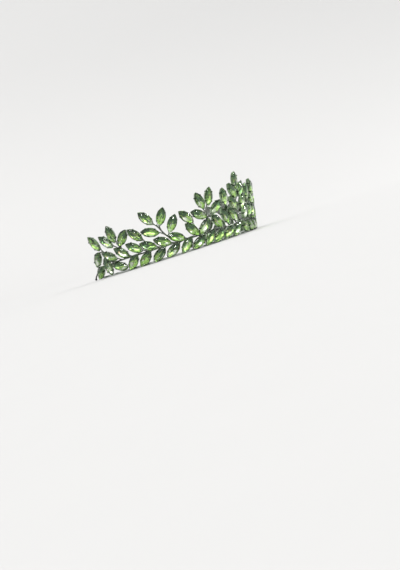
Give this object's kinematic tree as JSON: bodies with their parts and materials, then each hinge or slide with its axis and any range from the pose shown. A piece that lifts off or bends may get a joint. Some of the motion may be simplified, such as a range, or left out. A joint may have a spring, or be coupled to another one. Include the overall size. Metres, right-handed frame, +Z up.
{
  "type": "bridal crown",
  "caption": "Open bridal crown of leaf-shaped green stones in claw cups on a wire vine, rising to a peak in front, with a wire hook at each end.",
  "frame": {"origin": "centre of the ring's curve, on the flat underside of the base rail", "axes": "+Z up out of the crown, the front and its peak face -Y, the open back faces +Y, +X is the right side seen from the front"},
  "size_m": [0.1752, 0.1203, 0.0517],
  "materials": {
    "gunmetal": "dark nickel plating, polished",
    "green_stone": "faceted glass, foil backed"
  },
  "bodies": {
    "root": {"base_rail": "gunmetal", "vine_left": "gunmetal", "vine_right": "gunmetal", "end_sprig_left": "gunmetal", "end_sprig_right": "gunmetal", "outer_sprig_left": "gunmetal", "outer_sprig_right": "gunmetal", "middle_sprig_left": "gunmetal", "middle_sprig_right": "gunmetal", "inner_sprig_left": "gunmetal", "inner_sprig_right": "gunmetal", "front_sprig_left": "gunmetal", "front_sprig_right": "gunmetal", "centre_sprig": "gunmetal", "stones_vine_left": "green_stone", "stones_vine_right": "green_stone", "stones_end_left": "green_stone", "stones_end_right": "green_stone", "stones_outer_left": "green_stone", "stones_outer_right": "green_stone", "stones_middle_left": "green_stone", "stones_middle_right": "green_stone", "stones_inner_left": "green_stone", "stones_inner_right": "green_stone", "stones_front_left": "green_stone", "stones_front_right": "green_stone", "stones_centre": "green_stone"}
  },
  "joints": []
}
